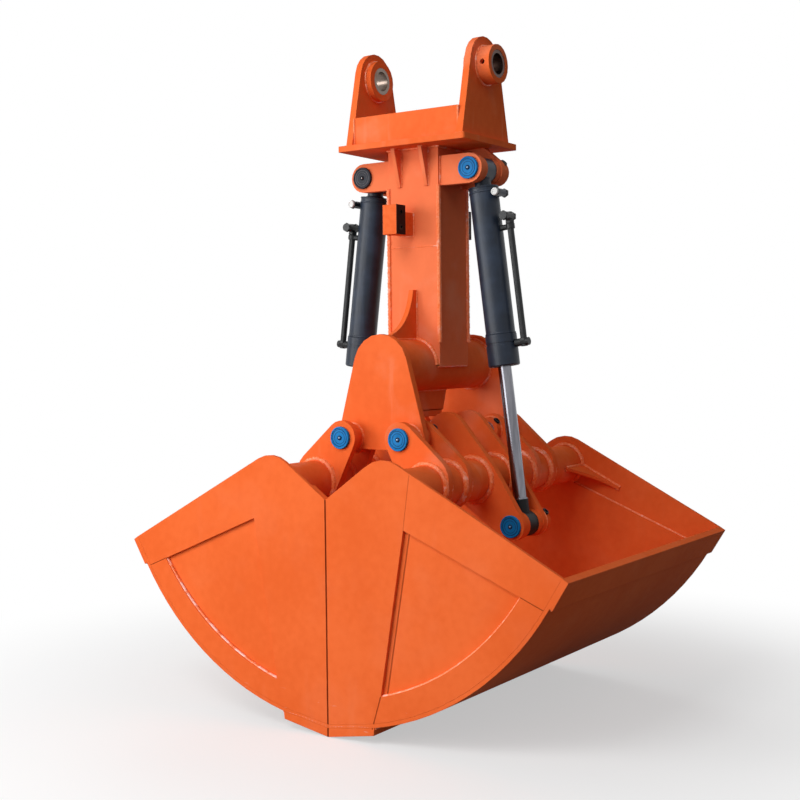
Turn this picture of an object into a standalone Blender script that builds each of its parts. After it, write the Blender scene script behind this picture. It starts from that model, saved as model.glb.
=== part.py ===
"""Hydraulic clamshell bucket for an excavator: hanger, column, hinge frame, two shells and two cylinders.

Lengths are in metres and heights are measured up from the underside of the cutting lips. The bucket hangs
from the pin through its two ears, so the root empty puts the middle of that pin's axis at the origin.
X runs across the opening of the jaws, Y along the hinge pins, and side is +1 on the right and -1 on the left.
"""

import math

import bmesh
import bpy
from mathutils import Matrix, Vector

# Fits and fineness of round surfaces
fit_gap = 0.0003
pin_clearance = 0.0004
running_gap = 0.001
weld_overlap = 0.004
cut_overrun = 0.02
band_cut_length = 1.6
band_cut_width = 0.8
merge_distance = 0.00001
arc_step = math.radians(18.0)
round_steps = 20
small_round_steps = 12
curve_steps = 14
sharp_angle = math.radians(35.0)

# Hanger
base_length = 0.512
base_depth = 0.356
base_thickness = 0.020
base_top = 1.920
base_corner_radius = 0.008
ear_axis_rise = 0.245
ear_setback = 0.020
ear_thickness = 0.025
ear_foot_depth = 0.310
ear_top_radius = 0.097
ear_bore_radius = 0.047
ear_boss_radius = 0.070
ear_boss_length = 0.023
collar_radius = 0.065
collar_length = 0.050
collar_bolt_radius = 0.009
bush_bore_radius = 0.034
upstand_height = 0.098
upstand_thickness = 0.016
upstand_setback = 0.015

# Column and its hose blocks
column_width = 0.2034
column_depth = 0.1844
column_wall = 0.012
column_foot_drop = 0.0024
rib_height = 0.130
rib_reach = 0.043
rib_thickness = 0.014
rib_spread = 0.110
rib_toe = 0.006
block_width = 0.058
block_depth = 0.054
block_height = 0.100
block_stand_off = 0.049
block_drop = 0.198
stub_drop = 0.023
stub_rise = 0.002
block_port_radius = 0.011
block_port_spacing = 0.052

# Hinges of the shells
hinge_spread = 0.232
hinge_height = 0.9227
hinge_pin_radius = 0.030
hinge_boss_radius = 0.045
hinge_eye_rim = 0.012
hinge_plate_thickness = 0.025
outer_hinge_face = 0.368

# Drum and the pear-shaped end plates
drum_rise = 0.2353
drum_radius = 0.088
drum_wall = 0.012
keel_thickness = 0.020
keel_length = 0.184
keel_foot_length = 0.140
keel_height = 0.070
pear_stand_off = 0.040
pear_thickness = 0.025
pear_back_gap = 0.031
pear_top_radius = 0.107
pear_foot_drop = 0.0407
gusset_thickness = 0.018
gusset_height = 0.1697
gusset_top_width = 0.020
gusset_knee_rise = 0.0287
gusset_knee_width = 0.048
gusset_toe_rise = 0.0077

# Pins of the cylinders
upper_pin_reach = 0.216
upper_pin_drop = 0.0835
rod_pin_outset = 0.146
rod_pin_drop = 0.149
cylinder_pin_radius = 0.025
bracket_face = 0.082
bracket_thickness = 0.025
bracket_boss_radius = 0.046
bracket_eye_rim = 0.002
bracket_head_radius = 0.076
upper_bracket_rim = 0.004
upper_bracket_shoulder = 0.093
eye_half_width = 0.032
eye_radius = 0.042
retaining_boss_step = 0.001
retaining_boss_length = 0.030
retaining_bolt_radius = 0.008

# Dust caps on the pin ends
cap_radius = 0.037
cap_thickness = 0.009
cap_ring_radius = 0.027
cap_ring_depth = 0.002
cap_nipple_radius = 0.006

# Cross tubes
tube_reach = 0.220
tube_drop = 0.1487
tube_radius = 0.070
tube_wall = 0.012
tube_plate_rim = 0.022
arm_heel_rim = 0.0135
arm_shoulder_rise = 0.0227
arm_shoulder_step = 0.0035
tube_gusset_length = 0.169
tube_gusset_width = 0.140
tube_gusset_thickness = 0.012
tube_gusset_offset = 0.027
tube_gusset_slope = math.radians(-27.0)
tube_gusset_hollow_shares = (0.45, 0.15)

# Shells
shell_width = 1.2232
seam_gap = 0.0005
notch_drop = 0.1761
frame_plate_thickness = 0.012
panel_plate_thickness = 0.012
panel_lap = 0.020
cheek_shoulder_radius = 0.105
sheet_radius = 0.945
sheet_thickness = 0.012
sheet_foot_reach = 0.178
sheet_foot_height = 0.056
rim_foot_reach = 0.781
rim_foot_height = 0.485
rim_run = 0.097
rim_bar_thickness = 0.010
wear_strip_width = 0.090
panel_head_outset = 0.072
panel_head_drop = 0.103
panel_foot_rise = 0.099
panel_tip_rise = 0.023
lip_root_height = 0.028
lip_end_setback = 0.003
lip_end_height = 0.031

# Cylinders, measured along their axes from the pin at each end
barrel_start = 0.060
barrel_radius = 0.050
barrel_bore_radius = 0.040
barrel_bore_start = 0.085
barrel_end = 0.562
barrel_chamfer = 0.004
gland_length = 0.106
gland_radius = 0.0535
gland_bore_radius = 0.038
gland_chamfer = 0.003
gland_groove_setback = 0.028
gland_groove_width = 0.008
gland_groove_depth = 0.002
eye_neck_start = 0.034
barrel_neck_radius = 0.028
rod_neck_radius = 0.026
rod_neck_end = 0.087
rod_radius = 0.0225
rod_end = 0.800
port_start = 0.091
port_offset = 0.068
port_radius = 0.013
port_stem_radius = 0.012
port_front = 0.045
port_rear = 0.020
pipe_offset = 0.085
pipe_radius = 0.011
pipe_start = 0.160
pipe_head_setback = 0.014
pipe_head_radius = 0.0145
pipe_foot_setback = 0.035
pipe_foot_tail = 0.015
pipe_foot_reach = 0.104
pipe_foot_radius = 0.0135
pipe_clamp_spacing = 0.034
pipe_clamp_radius = 0.010
pipe_clamp_reach = 0.097

# Places worked out from the sizes above
hanger_axis_height = base_top + ear_axis_rise
base_underside = base_top - base_thickness
hinge_reach = hinge_spread / 2
half_width = shell_width / 2
frame_inner_face = half_width - frame_plate_thickness
cheek_inner_face = frame_inner_face - panel_plate_thickness
outer_hinge_back = outer_hinge_face - hinge_plate_thickness
pear_face = outer_hinge_back - pear_stand_off
pear_inner_face = pear_face - pear_thickness
inner_hinge_face = pear_inner_face - pear_back_gap
inner_hinge_back = inner_hinge_face - hinge_plate_thickness
hinge_retaining_end = inner_hinge_back - retaining_boss_length
hinge_eye_radius = hinge_boss_radius + hinge_eye_rim
drum_height = hinge_height + drum_rise
drum_top = drum_height + drum_radius
ear_outer_face = base_length / 2 - ear_setback
ear_inner_face = ear_outer_face - ear_thickness
bracket_inner_face = bracket_face - bracket_thickness
bracket_eye_radius = bracket_boss_radius + bracket_eye_rim
upper_bracket_radius = bracket_boss_radius + upper_bracket_rim
retaining_boss_radius = bracket_boss_radius - retaining_boss_step
retaining_end = bracket_face + retaining_boss_length
tube_height = hinge_height - tube_drop
tube_plate_radius = tube_radius + tube_plate_rim
arm_heel_radius = tube_radius + arm_heel_rim
upper_pin_height = base_underside - upper_pin_drop
rod_pin_reach = tube_reach + rod_pin_outset
rod_pin_height = tube_height - rod_pin_drop
notch_height = hinge_height - notch_drop
gland_end = barrel_end + gland_length
pipe_head_start = pipe_start + pipe_head_setback
pipe_clamp_start = pipe_head_start + pipe_clamp_spacing
pipe_foot_start = barrel_end + pipe_foot_setback
pipe_end = pipe_foot_start + pipe_foot_tail
hinge_point = (hinge_reach, hinge_height)
tube_point = (tube_reach, tube_height)
upper_pin_point = (upper_pin_reach, upper_pin_height)
rod_pin_point = (rod_pin_reach, rod_pin_height)
bore_fit = pin_clearance + hinge_pin_radius
quarter_turn = math.pi / 2
eighth_turn = math.pi / 4
full_turn = 2 * math.pi
hollow_turn = full_turn - quarter_turn


def clear_scene():
    """Removes whatever the scene holds."""
    for old in list(bpy.data.objects):
        bpy.data.objects.remove(old, do_unlink=True)


def finish_material(name, colour, roughness, metallic):
    """One Principled material for one piece."""
    material = bpy.data.materials.new(name)
    material.use_nodes = True
    shader = material.node_tree.nodes["Principled BSDF"]
    shader.inputs["Base Color"].default_value = (*colour, 1.0)
    shader.inputs["Roughness"].default_value = roughness
    shader.inputs["Metallic"].default_value = metallic
    return material


def make_finishes():
    """Finishes of the bucket: a label, a colour, a roughness and a metallic value for each kind of surface."""
    orange_colour = (0.80, 0.13, 0.025)
    black_colour = (0.018, 0.021, 0.026)
    chrome_colour = (0.74, 0.75, 0.77)
    steel_colour = (0.36, 0.35, 0.33)
    blue_colour = (0.015, 0.16, 0.55)
    return {
        "orange paint": ("paint", orange_colour, 0.38, 0.0),
        "black enamel": ("enamel", black_colour, 0.34, 0.0),
        "chrome": ("chrome", chrome_colour, 0.12, 1.0),
        "bare steel": ("steel", steel_colour, 0.40, 1.0),
        "blue plastic": ("plastic", blue_colour, 0.42, 0.0),
    }


def arc_points(centre, radius, start, end, steps):
    """Points along an arc, both ends included."""
    turns = [start + (end - start) * index / steps for index in range(steps + 1)]
    return [(centre[0] + radius * math.cos(turn), centre[1] + radius * math.sin(turn)) for turn in turns]


def circle_points(centre, radius, steps=round_steps):
    """Points round a whole circle."""
    return arc_points(centre, radius, 0.0, full_turn, steps)[:-1]


def hull_outline(discs):
    """Outline of a plate stretched round discs (centre, radius) that are listed counter-clockwise.

    A disc that lies inside the band stretched round its neighbours doesn't touch the outline.
    """
    normals = []
    for (centre, radius), (following, other) in zip(discs, discs[1:] + discs[:1]):
        run = Vector(following) - Vector(centre)
        normals.append(math.atan2(run.y, run.x) - math.acos((radius - other) / run.length))
    sweeps = [(leave - arrive) % full_turn for arrive, leave in zip(normals[-1:] + normals[:-1], normals)]
    if max(sweeps) > hollow_turn:
        slack = sweeps.index(max(sweeps))
        return hull_outline(discs[:slack] + discs[slack + 1:])
    outline = []
    for (centre, radius), arrive, sweep in zip(discs, normals[-1:] + normals[:-1], sweeps):
        if radius == 0.0:
            outline.append(centre)
        else:
            steps = max(1, round(sweep / arc_step))
            outline += arc_points(centre, radius, arrive, arrive + sweep, steps)
    return outline


def rectangle(left, right, bottom, top):
    """Corners of a rectangle, counter-clockwise."""
    return [(left, bottom), (right, bottom), (right, top), (left, top)]


def meet_seam(points):
    """The path with its first point slid along its first stretch to the seam."""
    first = Vector(points[0])
    second = Vector(points[1])
    share = (seam_gap - first.x) / (second.x - first.x)
    return [tuple(first.lerp(second, share))] + points[1:]


def offset_path(points, distance):
    """The path moved to its left by a distance, with mitred corners."""
    ways = [(Vector(b) - Vector(a)).normalized() for a, b in zip(points, points[1:])]
    moved = []
    for index, point in enumerate(points):
        before = ways[max(index - 1, 0)]
        after = ways[min(index, len(ways) - 1)]
        left = Vector((-before.y - after.y, before.x + after.x)).normalized()
        mitre = left.dot(Vector((-after.y, after.x)))
        moved.append(tuple(Vector(point) + left * (distance / mitre)))
    return moved


def mirrored(outline, side):
    """The outline on the right side or on the left one."""
    return [(side * across, height) for across, height in outline]


def across_y(point, offset):
    """Place in a plate whose faces look along Y."""
    return (point[0], offset, point[1])


def across_x(point, offset):
    """Place in a plate whose faces look along X."""
    return (offset, point[0], point[1])


def across_z(point, offset):
    """Place in a plate whose faces look up and down."""
    return (point[0], point[1], offset)


def solid(name, material, shape):
    """Turns a closed mesh's faces outward and makes the object that carries it."""
    bmesh.ops.recalc_face_normals(shape, faces=shape.faces)
    if shape.calc_volume(signed=True) < 0.0:
        bmesh.ops.reverse_faces(shape, faces=shape.faces)
    data = bpy.data.meshes.new(name)
    shape.to_mesh(data)
    shape.free()
    if material:
        label, colour, roughness, metallic = material
        data.materials.append(finish_material(f"{name}_{label}", colour, roughness, metallic))
    data.shade_smooth()
    data.set_sharp_from_angle(angle=sharp_angle)
    item = bpy.data.objects.new(name, data)
    bpy.context.scene.collection.objects.link(item)
    return item


class Builder:
    """Collects loops, walls and caps into one closed mesh."""

    def __init__(self, place=across_y):
        self.mesh = bmesh.new()
        self.place = place

    def loop(self, points, offset):
        """A closed ring of edges at one depth of the plate."""
        corners = [self.mesh.verts.new(self.place(point, offset)) for point in points]
        for first, second in zip(corners, corners[1:] + corners[:1]):
            self.mesh.edges.new((first, second))
        return corners

    def wall(self, near, far):
        """Faces between two loops of equal length."""
        for index, corner in enumerate(near):
            following = (index + 1) % len(near)
            self.mesh.faces.new((corner, near[following], far[following], far[index]))

    def cap(self, *loops):
        """A flat face inside the first loop and outside the others."""
        edges = []
        for corners in loops:
            for first, second in zip(corners, corners[1:] + corners[:1]):
                edges.append(self.mesh.edges.get((first, second)))
        bmesh.ops.triangle_fill(self.mesh, edges=edges, use_beauty=True)

    def finish(self, name, material):
        """Makes the object that carries the mesh."""
        return solid(name, material, self.mesh)


def plate(name, material, outline, near, far, holes=(), bosses=(), place=across_y):
    """A flat plate with plain holes, and with bored bosses that rise from its near and far faces.

    A boss is (centre, radius, bore radius, near end, far end), where an end equal to the face's own
    place leaves that face flat.
    """
    build = Builder(place)
    near_loops = [build.loop(outline, near)]
    far_loops = [build.loop(outline, far)]
    build.wall(near_loops[0], far_loops[0])
    for points in holes:
        near_loops.append(build.loop(points, near))
        far_loops.append(build.loop(points, far))
        build.wall(near_loops[-1], far_loops[-1])
    for centre, radius, bore, near_end, far_end in bosses:
        bored = []
        for face, end, loops in ((near, near_end, near_loops), (far, far_end, far_loops)):
            mouth = build.loop(circle_points(centre, bore), end)
            bored.append(mouth)
            if end == face:
                loops.append(mouth)
                continue
            foot = build.loop(circle_points(centre, radius), face)
            rim = build.loop(circle_points(centre, radius), end)
            build.wall(foot, rim)
            build.cap(rim, mouth)
            loops.append(foot)
        build.wall(*bored)
    build.cap(*near_loops)
    build.cap(*far_loops)
    return build.finish(name, material)


def turned(name, material, profile, origin, axis, steps=round_steps, closed=False):
    """A turned solid: profile points are (distance along the axis, radius) from the origin."""
    shape = bmesh.new()
    points = [shape.verts.new((radius, 0.0, along)) for along, radius in profile]
    pairs = list(zip(points, points[1:]))
    if closed:
        pairs.append((points[-1], points[0]))
    edges = [shape.edges.new(pair) for pair in pairs]
    bmesh.ops.spin(
        shape, geom=points + edges, axis=(0.0, 0.0, 1.0), cent=(0.0, 0.0, 0.0),
        angle=full_turn, steps=steps, use_merge=True,
    )
    bmesh.ops.remove_doubles(shape, verts=shape.verts, dist=merge_distance)
    turn = Vector((0.0, 0.0, 1.0)).rotation_difference(Vector(axis)).to_matrix().to_4x4()
    shape.transform(Matrix.Translation(origin) @ turn)
    return solid(name, material, shape)


def rod_between(name, material, start, end, radius, steps=round_steps):
    """A plain round bar from one point to another."""
    run = Vector(end) - Vector(start)
    profile = [(0.0, 0.0), (0.0, radius), (run.length, radius), (run.length, 0.0)]
    return turned(name, material, profile, start, run, steps)


def combine(target, tool, operation):
    """Joins a tool body to the target or cuts it away, and keeps the tool as a hidden guide."""
    change = target.modifiers.new(tool.name, "BOOLEAN")
    change.operation = operation
    change.solver = "EXACT"
    change.object = tool
    tool.hide_render = True
    tool.display_type = "WIRE"
    return target


def pivot(name, place, parent):
    """An empty on a joint's axis, at a place given in the bucket's own heights."""
    empty = bpy.data.objects.new(name, None)
    bpy.context.scene.collection.objects.link(empty)
    empty.parent = parent
    held = Vector(parent["place"]) if parent else Vector((0.0, 0.0, 0.0))
    empty.location = Vector(place) - held
    empty["place"] = tuple(place)
    return empty


def carry(items, parent):
    """Hangs pieces, built in the bucket's own heights, and their guides on a pivot."""
    for item in items:
        tools = [change.object for change in item.modifiers if change.type == "BOOLEAN"]
        for piece in [item] + tools:
            piece.parent = parent
            piece.location = -Vector(parent["place"])


def bolt_cut(name, centre, offset, side, radius, reach):
    """A radial drilling, upward and outward, for the bolt that holds a pin in its boss."""
    middle = Vector((side * centre[0], offset, centre[1]))
    way = Vector((side * math.cos(eighth_turn), 0.0, math.sin(eighth_turn)))
    return rod_between(name, None, middle + way * (reach / 2), middle + way * (reach * 2), radius, small_round_steps)


def hanger(finish):
    """Base plate, ears, their bushes and the stiffener between them."""
    paint = finish["orange paint"]
    corner_across = base_length / 2 - base_corner_radius
    corner_along = base_depth / 2 - base_corner_radius
    corners = rectangle(-corner_across, corner_across, -corner_along, corner_along)
    base_outline = hull_outline([(corner, base_corner_radius) for corner in corners])
    items = [plate("hanger_base_plate", paint, base_outline, base_underside, base_top, place=across_z)]

    ear_foot = base_top + fit_gap
    half_foot = ear_foot_depth / 2
    ear_outline = hull_outline([
        ((-half_foot, ear_foot), 0.0), ((half_foot, ear_foot), 0.0),
        ((0.0, hanger_axis_height), ear_top_radius),
    ])
    axis_place = (0.0, hanger_axis_height)
    outer = ear_outer_face
    boss_end = ear_inner_face - ear_boss_length
    left = plate(
        "left_ear", paint, ear_outline, -outer, -ear_inner_face,
        bosses=[(axis_place, ear_boss_radius, ear_bore_radius, -outer, -boss_end)], place=across_x,
    )
    right = plate(
        "right_ear", paint, ear_outline, ear_inner_face, outer,
        bosses=[(axis_place, collar_radius, ear_bore_radius, boss_end, outer + collar_length)],
        place=across_x,
    )
    bolt_middle = Vector((outer + collar_length / 2, 0.0, hanger_axis_height))
    bolt_reach = Vector((0.0, collar_radius + cut_overrun, 0.0))
    bolt = rod_between(
        "collar_bolt_cut", None, bolt_middle - bolt_reach, bolt_middle + bolt_reach,
        collar_bolt_radius, small_round_steps,
    )
    combine(right, bolt, "DIFFERENCE")
    items += [left, right]

    bush_radius = ear_bore_radius - fit_gap
    bush_length = ear_thickness + ear_boss_length
    bush_profile = [
        (0.0, bush_bore_radius), (0.0, bush_radius), (bush_length, bush_radius), (bush_length, bush_bore_radius),
    ]
    for name, start in (("left_ear_bush", -outer), ("right_ear_bush", boss_end)):
        place = (start, 0.0, hanger_axis_height)
        items.append(turned(name, finish["bare steel"], bush_profile, place, (1.0, 0.0, 0.0), closed=True))

    upstand_half = ear_inner_face - fit_gap
    upstand = rectangle(-upstand_half, upstand_half, ear_foot, base_top + upstand_height)
    front = upstand_setback - half_foot
    for name, near in (("front_upstand", front), ("rear_upstand", -front - upstand_thickness)):
        items.append(plate(name, paint, upstand, near, near + upstand_thickness))
    return items


def column(finish):
    """Box column that saddles the drum, with the ribs under its base plate and its two hose blocks."""
    paint = finish["orange paint"]
    half_across = column_width / 2
    half_along = column_depth / 2
    top = base_underside - fit_gap
    outside = rectangle(-half_across, half_across, -half_along, half_along)
    inside_across = half_across - column_wall
    inside_along = half_along - column_wall
    inside = rectangle(-inside_across, inside_across, -inside_along, inside_along)
    column_foot = drum_height - column_foot_drop
    box = plate("column", paint, outside, column_foot, top, holes=[inside], place=across_z)
    saddle_reach = half_along + cut_overrun
    saddle = rod_between(
        "saddle_cut", None, (0.0, -saddle_reach, drum_height), (0.0, saddle_reach, drum_height),
        drum_radius + fit_gap, round_steps * 2,
    )
    combine(box, saddle, "DIFFERENCE")

    buried = half_along - weld_overlap
    tip = half_along + rib_reach
    for end, front in (("front", -1), ("rear", 1)):
        for hand, side in (("left", -1), ("right", 1)):
            outline = [
                (front * buried, top - rib_height), (front * (half_along + rib_toe), top - rib_height),
                (front * tip, top - rib_toe), (front * tip, top), (front * buried, top),
            ]
            middle = side * rib_spread / 2
            rib = plate(
                f"{end}_{hand}_rib", paint, outline, middle - rib_thickness / 2, middle + rib_thickness / 2,
                place=across_x,
            )
            combine(box, rib, "UNION")
    items = [box]

    face = half_along + fit_gap
    rear = face + block_stand_off
    outer = rear + block_depth
    block_top = base_underside - block_drop
    bottom = block_top - block_height
    stub_top = block_top - stub_drop
    stub_bottom = bottom + stub_rise
    middle = (rear + outer) / 2
    for name, front in (("front_hose_block", -1), ("rear_hose_block", 1)):
        outline = [
            (front * face, stub_bottom), (front * rear, stub_bottom), (front * rear, bottom),
            (front * outer, bottom), (front * outer, block_top), (front * rear, block_top),
            (front * rear, stub_top), (front * face, stub_top),
        ]
        port_heights = [(bottom + block_top + sign * block_port_spacing) / 2 for sign in (-1, 1)]
        ports = [
            circle_points((front * middle, height), block_port_radius, small_round_steps)
            for height in port_heights
        ]
        start, end = sorted((0.0, front * block_width))
        items.append(plate(name, paint, outline, start, end, holes=ports, place=across_x))
    return items


def upper_brackets(finish):
    """Plates on the column's sides that carry the upper pins, with the rear ones run up to the base plate."""
    paint = finish["orange paint"]
    wall = column_width / 2 + fit_gap
    low = upper_pin_height - upper_bracket_radius
    high = upper_pin_height + upper_bracket_radius
    top = base_underside - fit_gap
    shoulder = wall + upper_bracket_shoulder
    front_discs = [((wall, low), 0.0), (upper_pin_point, upper_bracket_radius), ((wall, high), 0.0)]
    rear_discs = front_discs[:2] + [((shoulder, top), 0.0), ((wall, top), 0.0)]
    boss_end = eye_half_width + running_gap
    bore = cylinder_pin_radius + pin_clearance
    items = []
    for hand, side in (("left", -1), ("right", 1)):
        centre = (side * upper_pin_reach, upper_pin_height)
        front = plate(
            f"{hand}_front_upper_bracket", paint, mirrored(hull_outline(front_discs), side),
            -bracket_face, -bracket_inner_face,
            bosses=[(centre, bracket_boss_radius, bore, -bracket_face, -boss_end)],
        )
        rear = plate(
            f"{hand}_rear_upper_bracket", paint, mirrored(hull_outline(rear_discs), side),
            bracket_inner_face, bracket_face,
            bosses=[(centre, retaining_boss_radius, bore, boss_end, retaining_end)],
        )
        middle = (bracket_face + retaining_end) / 2
        cut = bolt_cut(f"{hand}_upper_bolt_cut", upper_pin_point, middle, side, retaining_bolt_radius,
                       retaining_boss_radius)
        combine(rear, cut, "DIFFERENCE")
        items += [front, rear]
    return items


def hinge_frame(finish):
    """Drum, its keel, and the pear-shaped end plates with their bosses and curved gussets."""
    paint = finish["orange paint"]
    drum_end = pear_inner_face - fit_gap
    inner_radius = drum_radius - drum_wall
    tube = [(0.0, inner_radius), (0.0, drum_radius), (2 * drum_end, drum_radius), (2 * drum_end, inner_radius)]
    drum = turned(
        "drum", paint, tube, (0.0, -drum_end, drum_height), (0.0, 1.0, 0.0), round_steps * 2, closed=True,
    )
    keel_root = drum_height - drum_radius
    keel_outline = [
        (-keel_foot_length / 2, keel_root - keel_height), (keel_foot_length / 2, keel_root - keel_height),
        (keel_length / 2, keel_root), (keel_length / 2, keel_root + weld_overlap),
        (-keel_length / 2, keel_root + weld_overlap), (-keel_length / 2, keel_root),
    ]
    keel = plate(
        "drum_keel", paint, keel_outline, -keel_thickness / 2, keel_thickness / 2, place=across_x,
    )
    items = [combine(drum, keel, "UNION")]

    arch = math.asin(pear_foot_drop / hinge_eye_radius)
    crown = hull_outline([
        (hinge_point, hinge_eye_radius), ((0.0, drum_height), pear_top_radius),
        ((-hinge_reach, hinge_height), hinge_eye_radius),
    ])
    outline = [point for point in crown if point[1] > hinge_height]
    steps = round((math.pi + arch) / arc_step)
    left_lobe = arc_points((-hinge_reach, hinge_height), hinge_eye_radius, math.pi, full_turn - arch, steps)
    right_lobe = arc_points(hinge_point, hinge_eye_radius, math.pi + arch, full_turn, steps)
    outline = outline + left_lobe + right_lobe
    outer_end = outer_hinge_back - running_gap
    inner_end = inner_hinge_face + running_gap
    wall = column_depth / 2 + fit_gap
    foot = drum_top + fit_gap
    gusset_top = foot + gusset_height
    for name, front in (("front", -1), ("rear", 1)):
        near, far = sorted((front * pear_face, front * pear_inner_face))
        near_end, far_end = sorted((front * outer_end, front * inner_end))
        bosses = [
            ((side * hinge_reach, hinge_height), hinge_boss_radius, bore_fit, near_end, far_end)
            for side in (-1, 1)
        ]
        pear = plate(f"{name}_pear_plate", paint, outline, near, far, bosses=bosses)
        start = Vector((wall + gusset_top_width, gusset_top))
        knee = Vector((wall + gusset_knee_width, foot + gusset_knee_rise))
        toe = Vector((pear_inner_face + weld_overlap, foot + gusset_toe_rise))
        curve = []
        for index in range(curve_steps + 1):
            share = index / curve_steps
            point = start.lerp(knee, share).lerp(knee.lerp(toe, share), share)
            curve.append((front * point.x, point.y))
        edge = [(front * wall, foot), (front * wall, gusset_top)] + curve
        gusset = plate(
            f"{name}_gusset", paint, edge + [(front * (pear_inner_face + weld_overlap), foot)],
            -gusset_thickness / 2, gusset_thickness / 2, place=across_x,
        )
        items.append(combine(pear, gusset, "UNION"))
    return items


def sheet_centre():
    """Centre of the bent stretch of a shell's sheet, and the angles where that stretch starts and ends."""
    foot = Vector((sheet_foot_reach, sheet_foot_height))
    head = Vector((rim_foot_reach, rim_foot_height))
    chord = head - foot
    height = math.sqrt(sheet_radius**2 - chord.length_squared / 4)
    inward = Vector((-chord.y, chord.x)).normalized()
    centre = (foot + head) / 2 + inward * height
    start = math.atan2(foot.y - centre.y, foot.x - centre.x)
    end = math.atan2(head.y - centre.y, head.x - centre.x)
    return tuple(centre), start, end


def sheet_path():
    """Outer line of the sheet from the seam to the rim."""
    centre, start, end = sheet_centre()
    bent = arc_points(centre, sheet_radius, start, end, curve_steps)
    way = Vector((-math.sin(end), math.cos(end)))
    rim = Vector(bent[-1]) + way * rim_run
    return [(seam_gap, lip_root_height)] + bent + [tuple(rim)]


def cheeks(finish, hand, side):
    """Side walls: frame plates outside, a panel plate lapped behind them, and a hollow gusset to the tube."""
    paint = finish["orange paint"]
    centre, start, end = sheet_centre()
    edge = meet_seam(offset_path(sheet_path(), sheet_thickness + fit_gap))
    discs = [(point, 0.0) for point in edge]
    discs += [(tube_point, cheek_shoulder_radius), ((seam_gap, notch_height), 0.0)]
    outline = mirrored(hull_outline(discs), side)
    strip_radius = sheet_radius - wear_strip_width
    foot_angle = math.asin((sheet_foot_height + panel_foot_rise - centre[1]) / strip_radius)
    tip_angle = math.asin((rim_foot_height + panel_tip_rise - centre[1]) / strip_radius)
    panel = arc_points(centre, strip_radius, foot_angle, tip_angle, curve_steps)
    head = Vector((tube_reach + panel_head_outset, tube_height - panel_head_drop))
    run = Vector((strip_radius * math.cos(tip_angle), strip_radius * math.sin(tip_angle))) + Vector(centre) - head
    border = run.normalized()
    upward = Vector((-border.y, border.x))
    panel = mirrored(panel + [tuple(head)], side)
    lap_edge = head + upward * panel_lap
    stretch = border * (band_cut_length / 2)
    above = upward * band_cut_width
    band = [lap_edge - stretch, lap_edge + stretch, lap_edge + stretch + above, lap_edge - stretch + above]
    band = mirrored([tuple(point) for point in band], side)
    tube_hole = circle_points((side * tube_reach, tube_height), tube_radius + fit_gap)

    way = Vector((math.cos(tube_gusset_slope), math.sin(tube_gusset_slope)))
    normal = Vector((-way.y, way.x))
    low_side = tube_gusset_offset - tube_gusset_thickness / 2
    root_reach = math.sqrt(tube_radius**2 - low_side**2) + running_gap
    root = Vector(tube_point) + way * root_reach + normal * tube_gusset_offset
    near_share, deep_share = tube_gusset_hollow_shares
    free_root = Vector((0.0, tube_gusset_width))
    free_tip = Vector((tube_gusset_length, weld_overlap))
    hollow = Vector((tube_gusset_length * near_share, tube_gusset_width * deep_share))
    fin_edge = [(0.0, -weld_overlap), (tube_gusset_length, -weld_overlap)]
    for index in range(curve_steps + 1):
        share = index / curve_steps
        point = free_tip.lerp(hollow, share).lerp(hollow.lerp(free_root, share), share)
        fin_edge.append((point.x, point.y))

    items = []
    for end_name, front in (("front", -1), ("rear", 1)):
        build = Builder()
        outer_edge = build.loop(outline, front * half_width)
        inner_edge = build.loop(outline, front * cheek_inner_face)
        build.wall(outer_edge, inner_edge)
        panel_edge = build.loop(panel, front * half_width)
        panel_floor = build.loop(panel, front * frame_inner_face)
        build.wall(panel_edge, panel_floor)
        build.cap(outer_edge, panel_edge)
        build.cap(panel_floor)
        build.cap(inner_edge)
        cheek = build.finish(f"{hand}_{end_name}_cheek", paint)
        ends = sorted((front * frame_inner_face, front * (cheek_inner_face - cut_overrun)))
        combine(cheek, plate(f"{hand}_{end_name}_band_cut", None, band, *ends), "DIFFERENCE")
        combine(cheek, plate(f"{hand}_{end_name}_tube_cut", None, tube_hole, *ends), "DIFFERENCE")

        fin = Builder()
        faces = []
        for offset in (tube_gusset_thickness / 2, -tube_gusset_thickness / 2):
            ring = []
            for reach, depth in fin_edge:
                spot = root + way * reach + normal * offset
                ring.append(fin.mesh.verts.new((side * spot.x, front * (frame_inner_face - depth), spot.y)))
            faces.append(ring)
            fin.mesh.faces.new(ring)
        fin.wall(*faces)
        gusset = fin.finish(f"{hand}_{end_name}_tube_gusset", paint)
        items.append(combine(cheek, gusset, "UNION"))
    return items


def shell_sheet(finish, hand, side):
    """Bent bottom sheet with the bar along its rim, and the cutting lip under it."""
    paint = finish["orange paint"]
    path = sheet_path()
    inner = meet_seam(offset_path(path, sheet_thickness))
    rim_foot = Vector(path[-2])
    rim_head = Vector(path[-1])
    way = (rim_head - rim_foot).normalized()
    outward = Vector((way.y, -way.x)) * rim_bar_thickness
    profile = path[:-1] + [tuple(rim_foot + outward), tuple(rim_head + outward)] + inner[::-1]
    sheet = plate(f"{hand}_shell_sheet", paint, mirrored(profile, side), -half_width, half_width)
    lip_profile = [
        (seam_gap, 0.0), (sheet_foot_reach - lip_end_setback, lip_end_height),
        (sheet_foot_reach, sheet_foot_height - fit_gap), (seam_gap, lip_root_height - fit_gap),
    ]
    lip = plate(f"{hand}_cutting_lip", paint, mirrored(lip_profile, side), -half_width, half_width)
    return [sheet, lip]


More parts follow.
